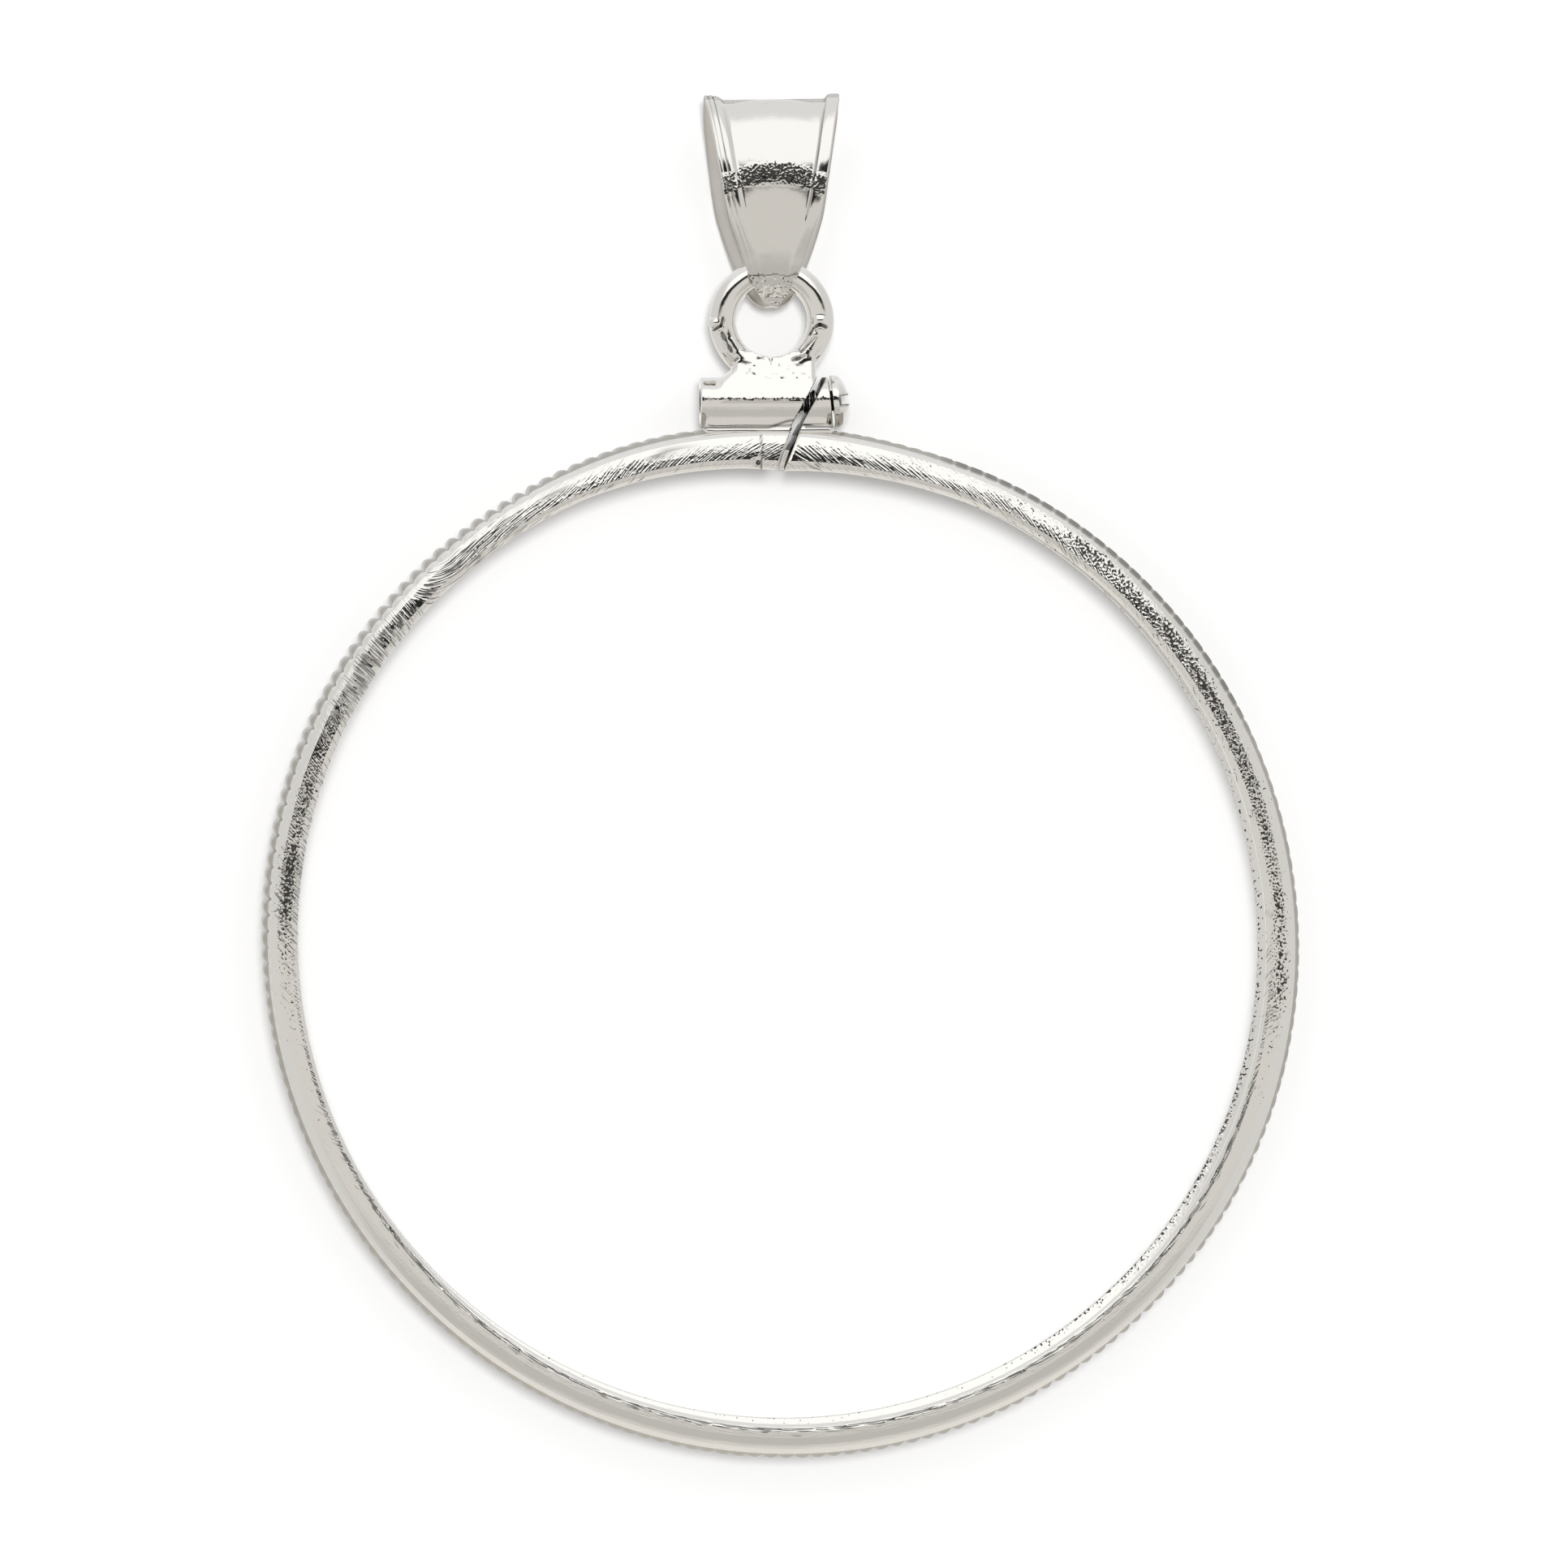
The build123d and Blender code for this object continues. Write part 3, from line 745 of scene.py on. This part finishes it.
def folded_bail(materials):
    """The bail: one sheet, from its front tip over the fold to its back tip. The first
    material is the outside's and the second the inside's."""
    outline = bail_side(BAIL_RISE - RAIL_HEIGHT, BAIL_HALF_DEPTH - RAIL_HEIGHT,
                        FOLD_RADIUS - RAIL_HEIGHT, EYE_RADIUS + SHEET)
    half = evenly(outline, POINT_SPACING)
    line = np.vstack([half[::-1], half[1:] * [1, -1]])
    along = np.gradient(line, axis=0)
    along /= np.linalg.norm(along, axis=1)[:, None]
    normal = np.stack([-along[:, 1], along[:, 0]], axis=-1)
    is_front = np.arange(len(line)) < len(half)
    front_width = leaf_half_width(FRONT_LEAF, FRONT_TIP, line[:, 0])
    back_width = leaf_half_width(BACK_LEAF, BACK_TIP, line[:, 0])
    width = np.where(is_front, front_width, back_width)
    keep = width > 0.03
    line, normal, width, is_front = (a[keep] for a in (line, normal, width, is_front))
    height = line[:, :1]
    rows = len(line)
    wide = width[:, None]
    front = is_front[:, None]

    # The rails narrow with the leaf towards its tip, and fade out there
    share = np.minimum(1, wide / FULL_RAILS_FROM)
    left_x = -wide + np.array(LEFT_STATIONS)[None, :] * share
    right_x = wide - np.array(RIGHT_STATIONS)[None, ::-1] * share
    panel = right_x[:, :1] - left_x[:, -1:]
    between_rails = left_x[:, -1:] + panel * np.linspace(0, 1, 40)[None, 1:-1]
    x = np.hstack([left_x, between_rails, right_x])
    from_left, from_right = (x + wide) / share, (wide - x) / share
    rails = np.maximum(along_table(from_left, LEFT_RAIL), along_table(from_right, RIGHT_RAIL))
    relief = rails * RAIL_HEIGHT * (0.12 + 0.88 * smooth(height, 0.5, 3.0))
    # The panel is a little crowned, and drops away to its sides above the belly
    relief = relief - 0.034 * np.minimum(x**2, 2.6) * np.clip(height - 2.6, 0, 1.5) * front
    # Hammer and file left the sheet a little uneven
    relief = relief + 0.004 * grain(x, height, 0 * x + front, 0.8, 35)
    relief = relief + 0.0015 * grain(x, height, 0 * x + front, 0.25, 36)

    # Grainy solder where the two tips are joined, with a bead at the lowest point
    ragged = -0.12 + 0.06 * grain(x, height, 0 * x, 0.3, 31)
    ragged = ragged + 0.03 * grain(x, height, 0 * x, 0.09, 32)
    solder = smooth(height, ragged + 0.02, ragged - 0.03) * front
    rough = 0.020 + 0.022 * grain(x, height, 0 * x, 0.22, 33)
    rough = rough + 0.012 * grain(x, height, 0 * x, 0.085, 34)
    bead = smooth(height, -1.08, -1.18)
    lifted = relief + solder * (rough + 0.04 * bead)

    # The sheet's edge is filed to a bevel inside, so that it shows pale beside the front leaf
    inner_x = wide * np.sin(np.linspace(math.pi / 2, -math.pi / 2, 41))[None, :]
    thickness = SHEET * (0.30 + 0.70 * smooth(wide - np.abs(inner_x), 0.0, 0.55))
    inner_height = height - normal[:, :1] * thickness
    inner_depth = line[:, 1:] - normal[:, 1:] * thickness
    # Below the wire the two leaves meet half way, and neither goes through the other
    side = np.where(front, 1.0, -1.0)
    met = (side * inner_depth < 0.004) & (height < 0)
    inner_depth = np.where(met, side * 0.004, inner_depth)

    xs = np.hstack([x, inner_x])
    hs = np.hstack([height + normal[:, :1] * lifted, inner_height])
    ds = np.hstack([line[:, 1:] + normal[:, 1:] * lifted, inner_depth])
    # The fold isn't quite square to the bail
    tilt = math.tan(TOP_TILT) * (xs - BAIL_HALF_WIDTH) * smooth(hs, 3.0, 7.0)
    points = np.stack([LOOP_X + xs, WIRE_Y + hs + tilt, ds], axis=-1).reshape(-1, 3)
    columns = xs.shape[1]
    inside = np.arange(columns) >= x.shape[1] - 1
    face_material = np.tile(inside.astype(np.int32), rows - 1).tolist() + [0, 0]

    run = np.broadcast_to(length_along(line)[:, None], xs.shape)
    strokes = np.stack([run, xs], axis=-1).reshape(-1, 2)
    # The grooves of the rails and the edge of the solder are painted dark
    groove = ridge(from_left, 0.35, 0.022) + 0.5 * ridge(from_left, 0.15, 0.018)
    groove = (groove + 0.7 * ridge(from_right, 0.52, 0.022)) * smooth(height, 1.8, 3.6)
    joint = 0.8 * ridge(height, ragged, 0.035) * front
    residue_and_painted_shade = np.clip(groove * (0.7 + 0.4 * grain(x, height, 0 * x, 0.5, 37)) + joint, 0, 1)
    # Pits show in the dark band, which arches up in the middle of the crowned panel, and dark
    # flecks are painted among them as a painted reflection of the dark slit
    in_band = height + 0.13 * x**2
    speckle = 0.05 + span(in_band, *DARK_BAND) + 0.45 * solder
    bare = np.zeros_like(inner_x)
    marks = {
        "speckle": np.hstack([speckle, bare + 0.1]),
        "hatch": np.hstack([np.full_like(x, 0.12), bare]),
        "residue_and_painted_shade": np.hstack([residue_and_painted_shade, bare]),
    }
    return piece("folded_bail", points, closed_faces(rows, columns), "bail", materials, strokes,
                 marks, face_material)


# Materials

# Widths in millimetres. The pits and hairlines are a little coarser than the real grit marks,
# so that they show.
PIT_WIDTH = 0.11
HAIRLINE_WIDTH = 0.06
HAIRLINE_LENGTH = 0.7
WORN_PATCH = 1.2
# Colour of the dark residue, and of the painted shade and painted reflection of the dark slit
RESIDUE_AND_PAINTED_SHADE_COLOUR = "#2E2A26"


def silver(name, hex_colour, roughness, pit_relief, hairline_relief):
    """Sterling silver: nearly white metal with a warm cast, cast or drawn, then filed, brushed
    and polished by hand. It mirrors the room, and fine pits and hairlines break up the edges of
    what it mirrors. Where the pits and hairlines are dense, dark flecks and streaks are painted
    into its colour, a painted reflection of the dark slit that they break up. Each point may also
    carry painted shade, painted reflection and dark residue. The reliefs are in millimetres, and
    each point of the mesh says how much of each mark there is."""
    material = bpy.data.materials.new(name)
    material.use_nodes = True
    tree = material.node_tree
    shader = tree.nodes["Principled BSDF"]
    shader.inputs["Metallic"].default_value = 1.0
    place = put(tree, "ShaderNodeTexCoord")
    speckle = put(tree, "ShaderNodeAttribute", attribute_name="speckle").outputs["Fac"]
    hatch = put(tree, "ShaderNodeAttribute", attribute_name="hatch").outputs["Fac"]
    residue_and_painted_shade = put(tree, "ShaderNodeAttribute", attribute_name="residue_and_painted_shade").outputs["Fac"]

    pits = put(tree, "ShaderNodeTexNoise", {
        "Vector": place.outputs["Object"], "Scale": 1 / (PIT_WIDTH * MM), "Detail": 0.0,
    })
    along = put(tree, "ShaderNodeUVMap", uv_map="strokes")
    stretched = put(tree, "ShaderNodeMapping", {
        "Vector": along.outputs["UV"], "Scale": (1 / HAIRLINE_LENGTH, 1 / HAIRLINE_WIDTH, 1),
    })
    hairlines = put(tree, "ShaderNodeTexNoise", {
        "Vector": stretched.outputs["Vector"], "Scale": 1.0, "Detail": 0.0,
    })
    pit_depth = put(tree, "ShaderNodeMath", {
        0: pits.outputs["Fac"], 1: speckle,
    }, operation="MULTIPLY")
    line_depth = put(tree, "ShaderNodeMath", {
        0: hairlines.outputs["Fac"], 1: hatch,
    }, operation="MULTIPLY")
    pitted = put(tree, "ShaderNodeBump", {
        "Height": pit_depth.outputs[0], "Distance": pit_relief * MM,
    })
    lined = put(tree, "ShaderNodeBump", {
        "Height": line_depth.outputs[0], "Distance": hairline_relief * MM,
        "Normal": pitted.outputs["Normal"],
    })
    tree.links.new(lined.outputs["Normal"], shader.inputs["Normal"])

    # The denser the pits and hairlines, the more dark flecks and streaks are painted among them, as
    # a painted reflection of the dark slit
    densest, lift = 1.3, 0.42
    clean_below, full_above = 0.90, 0.97
    painted_flecks = []
    for pattern, density, darkest in ((pits, speckle, 0.94), (hairlines, hatch, 0.60)):
        most = put(tree, "ShaderNodeMath", {0: density, 1: densest}, operation="MINIMUM")
        spare = put(tree, "ShaderNodeMath", {
            0: most.outputs[0], 1: lift, 2: pattern.outputs["Fac"],
        }, operation="MULTIPLY_ADD")
        painted_flecks.append(put(tree, "ShaderNodeMapRange", {
            "Value": spare.outputs[0], "From Min": clean_below, "From Max": full_above,
            "To Min": 0.0, "To Max": darkest,
        }).outputs["Result"])
    # The painted flecks, and the painted shade and residue of each point, darken the colour
    painted_fleck_share = put(tree, "ShaderNodeMath", {0: painted_flecks[0], 1: painted_flecks[1]}, operation="MAXIMUM")
    painted_shade_with_residue = put(tree, "ShaderNodeMath", {0: painted_fleck_share.outputs[0], 1: residue_and_painted_shade}, operation="MAXIMUM")
    colour = put(tree, "ShaderNodeMix", {
        0: painted_shade_with_residue.outputs[0], 6: linear(hex_colour), 7: linear(RESIDUE_AND_PAINTED_SHADE_COLOUR),
    }, data_type="RGBA")
    tree.links.new(colour.outputs[2], shader.inputs["Base Color"])

    # Handling dulls the polish in patches, and the painted shade and residue dull it more
    worn = put(tree, "ShaderNodeTexNoise", {
        "Vector": place.outputs["Object"], "Scale": 1 / (WORN_PATCH * MM), "Detail": 3.0,
    })
    spread = put(tree, "ShaderNodeMapRange", {
        "Value": worn.outputs["Fac"], "To Min": roughness * 0.7, "To Max": roughness * 1.4,
    })
    dulled = put(tree, "ShaderNodeMath", {
        0: painted_shade_with_residue.outputs[0], 1: 0.35, 2: spread.outputs["Result"],
    }, operation="MULTIPLY_ADD")
    tree.links.new(dulled.outputs[0], shader.inputs["Roughness"])
    return material


# Floor, light and camera

FLOOR_HALF = 3000.0
# Each lamp as (name, width of its disc in degrees, tilt to the north in degrees, strength)
LAMPS = [("soft_lamp", 12, 7, 1.84), ("wide_lamp", 125, 9, 1.90)]

# What the metal mirrors, from the floor on one side over the top to the floor on the other:
# degrees north of straight up, and brightness. The dark slit is the gap for the camera. The
# light is a little warmer south of the slit and cooler north of it, and plain at both sides.
ROOM = [
    (-180, 0.95), (-96, 0.95), (-72, 0.90), (-60, 0.62), (-31, 0.62), (-22, 0.80), (4, 0.80),
    (10, 0.02), (21, 0.02), (26, 1.32), (58, 1.32), (64, 0.95), (180, 0.95),
]
ROOM_TOP = 1.32
SIDE_WALLS = 0.80
SLIT_MIDDLE = 15
SOUTH_TINT = (1.0, 0.988, 0.967)
NORTH_TINT = (0.980, 0.993, 1.020)

# The camera stands nearly straight above the piece, and its picture is this wide there
CAMERA_HEIGHT = 600.0
CAMERA_AIM = (0.15, 6.5)
CAMERA_TO_LEFT = math.radians(3.6)
CAMERA_TO_NORTH = math.radians(2.0)
PICTURE_WIDTH = 64.72
SENSOR_WIDTH = 36.0


def studio():
    """A pale floor under a bright panel to the north and a paler one to the south, with the
    dark slit between them through which the camera looks. Two soft lamps light the floor, one
    with a narrower disc for the shadows close to the metal and a wide one for the rest."""
    # Matt white card: an even pale ground that takes soft shadows and no gloss
    floor_material = bpy.data.materials.new("pale_card_floor")
    floor_material.use_nodes = True
    shader = floor_material.node_tree.nodes["Principled BSDF"]
    shader.inputs["Base Color"].default_value = linear("#F4F4F4")
    shader.inputs["Roughness"].default_value = 0.9
    shader.inputs["Specular IOR Level"].default_value = 0.0
    mesh = bpy.data.meshes.new("floor")
    drop = -CROWN_HALF - 0.01
    corners = ((-1, -1), (1, -1), (1, 1), (-1, 1))
    points = [(x * FLOOR_HALF * MM, y * FLOOR_HALF * MM, drop * MM) for x, y in corners]
    mesh.from_pydata(points, [], [(0, 1, 2, 3)])
    mesh.materials.append(floor_material)
    # The room below already holds what the metal mirrors of the floor
    floor = bpy.data.objects.new("floor", mesh)
    bpy.context.scene.collection.objects.link(floor)
    floor.visible_glossy = False

    for name, width, tilt, strength in LAMPS:
        lamp = bpy.data.lights.new(name, "SUN")
        lamp.angle = math.radians(width)
        lamp.energy = strength
        hung = bpy.data.objects.new(name, lamp)
        hung.rotation_euler = (math.radians(-tilt), 0, 0)
        hung.visible_glossy = False
        bpy.context.scene.collection.objects.link(hung)

    # The room shows in the metal alone, and the lamps light everything else
    world = bpy.data.worlds.new("studio_light")
    bpy.context.scene.world = world
    world.use_nodes = True
    world.cycles_visibility.diffuse = False
    tree = world.node_tree
    direction = put(tree, "ShaderNodeTexCoord").outputs["Generated"]
    parts = put(tree, "ShaderNodeSeparateXYZ", {"Vector": direction})
    tilt = put(tree, "ShaderNodeMath", {
        0: parts.outputs["Y"], 1: parts.outputs["Z"],
    }, operation="ARCTAN2")
    share = put(tree, "ShaderNodeMapRange", {
        "Value": tilt.outputs[0], "From Min": -math.pi, "From Max": math.pi,
    })
    sweep = put(tree, "ShaderNodeValToRGB", {"Fac": share.outputs["Result"]})
    stops = sweep.color_ramp.elements
    while len(stops) < len(ROOM):
        stops.new(1.0)
    for stop, (degrees, level) in zip(stops, ROOM):
        tint = SOUTH_TINT if degrees < SLIT_MIDDLE else NORTH_TINT
        stop.position = (degrees + 180) / 360
        stop.color = [min(1.0, level * t / ROOM_TOP) for t in tint] + [1.0]
    aside = put(tree, "ShaderNodeMath", {0: parts.outputs["X"]}, operation="ABSOLUTE")
    wall = put(tree, "ShaderNodeMapRange", {
        "Value": aside.outputs[0], "From Min": 0.55, "From Max": 0.80, "To Min": 0.0, "To Max": 1.0,
    }, interpolation_type="SMOOTHSTEP")
    level = put(tree, "ShaderNodeMix", {
        0: wall.outputs["Result"], 6: sweep.outputs["Color"],
        7: [SIDE_WALLS / ROOM_TOP] * 3 + [1.0],
    }, data_type="RGBA")
    sky = tree.nodes["Background"]
    tree.links.new(level.outputs[2], sky.inputs["Color"])
    sky.inputs["Strength"].default_value = ROOM_TOP


def photo_camera():
    """Camera nearly straight above, a little to the left and above, as in the photograph."""
    east, north = CAMERA_AIM
    aim = Vector((east, north, 0.0))
    place = Vector((
        east - CAMERA_HEIGHT * math.tan(CAMERA_TO_LEFT),
        north + CAMERA_HEIGHT * math.tan(CAMERA_TO_NORTH),
        CAMERA_HEIGHT,
    ))
    data = bpy.data.cameras.new("photo_camera")
    camera = bpy.data.objects.new("photo_camera", data)
    bpy.context.scene.collection.objects.link(camera)
    back = (place - aim).normalized()
    right = Vector((0, 1, 0)).cross(back).normalized()
    camera.matrix_world = Matrix((right, back.cross(right), back)).transposed().to_4x4()
    camera.location = place * MM
    data.sensor_width = SENSOR_WIDTH
    data.lens = SENSOR_WIDTH * (aim - place).length / PICTURE_WIDTH
    data.clip_start = 0.05
    data.clip_end = 20.0
    bpy.context.scene.camera = camera


# The finishes, each with its colour, its roughness, and the relief of its pits and hairlines

# Drawn strip, brushed and buffed: a bright mirror with a fringe of hairlines and specks
lip_silver = silver("polished_silver_lips", "#E6E3DD", 0.07, 0.026, 0.020)
# Scalloped band, filed and left so: grey, with only a soft shine
band_silver = silver("filed_silver_band", "#B4B0A7", 0.32, 0.020, 0.010)
# Wire, tube and flowed solder, buffed: as bright as the lips, with far fewer marks
solder_silver = silver("soldered_silver_fittings", "#E6E3DD", 0.07, 0.012, 0.004)
# Rolled sheet, buffed: smooth, a little greyer, with crisp reflections
sheet_silver = silver("polished_silver_sheet", "#DFDCD6", 0.08, 0.016, 0.006)
# Fresh from the saw and never reached by the buff: rough, and dark with painted shade for the deep,
# narrow cut
sawn_silver_painted_shade = silver("sawn_silver_cut_painted_shade", "#4A443E", 0.35, 0.020, 0.004)
# Rolled sheet as it came from the rolls: pale and dull
inner_silver = silver("unpolished_silver_inside", "#D4D0C9", 0.42, 0.008, 0.004)

ring = channel_ring([lip_silver, band_silver, sawn_silver_painted_shade])
fittings = cast(
    "barrel_and_loop", barrel_and_loop_form, low=(-3.7, 20.6, -1.6), high=(2.6, 28.4, 1.6),
    voxel=0.042, body="frame", materials=[solder_silver], marks=solder_marks,
)
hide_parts("bezel_frame")
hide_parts("bezel_frame")
screw = cast(
    "slotted_screw", clamp_screw_form, low=(-3.0, 21.0, -1.3), high=(3.2, 23.6, 1.3),
    voxel=0.032, body="screw", materials=[solder_silver], marks=screw_marks,
)
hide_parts("clamp_screw")
bail = folded_bail([sheet_silver, inner_silver])
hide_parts("bail")

studio()
photo_camera()
bpy.context.scene.view_settings.view_transform = "Standard"
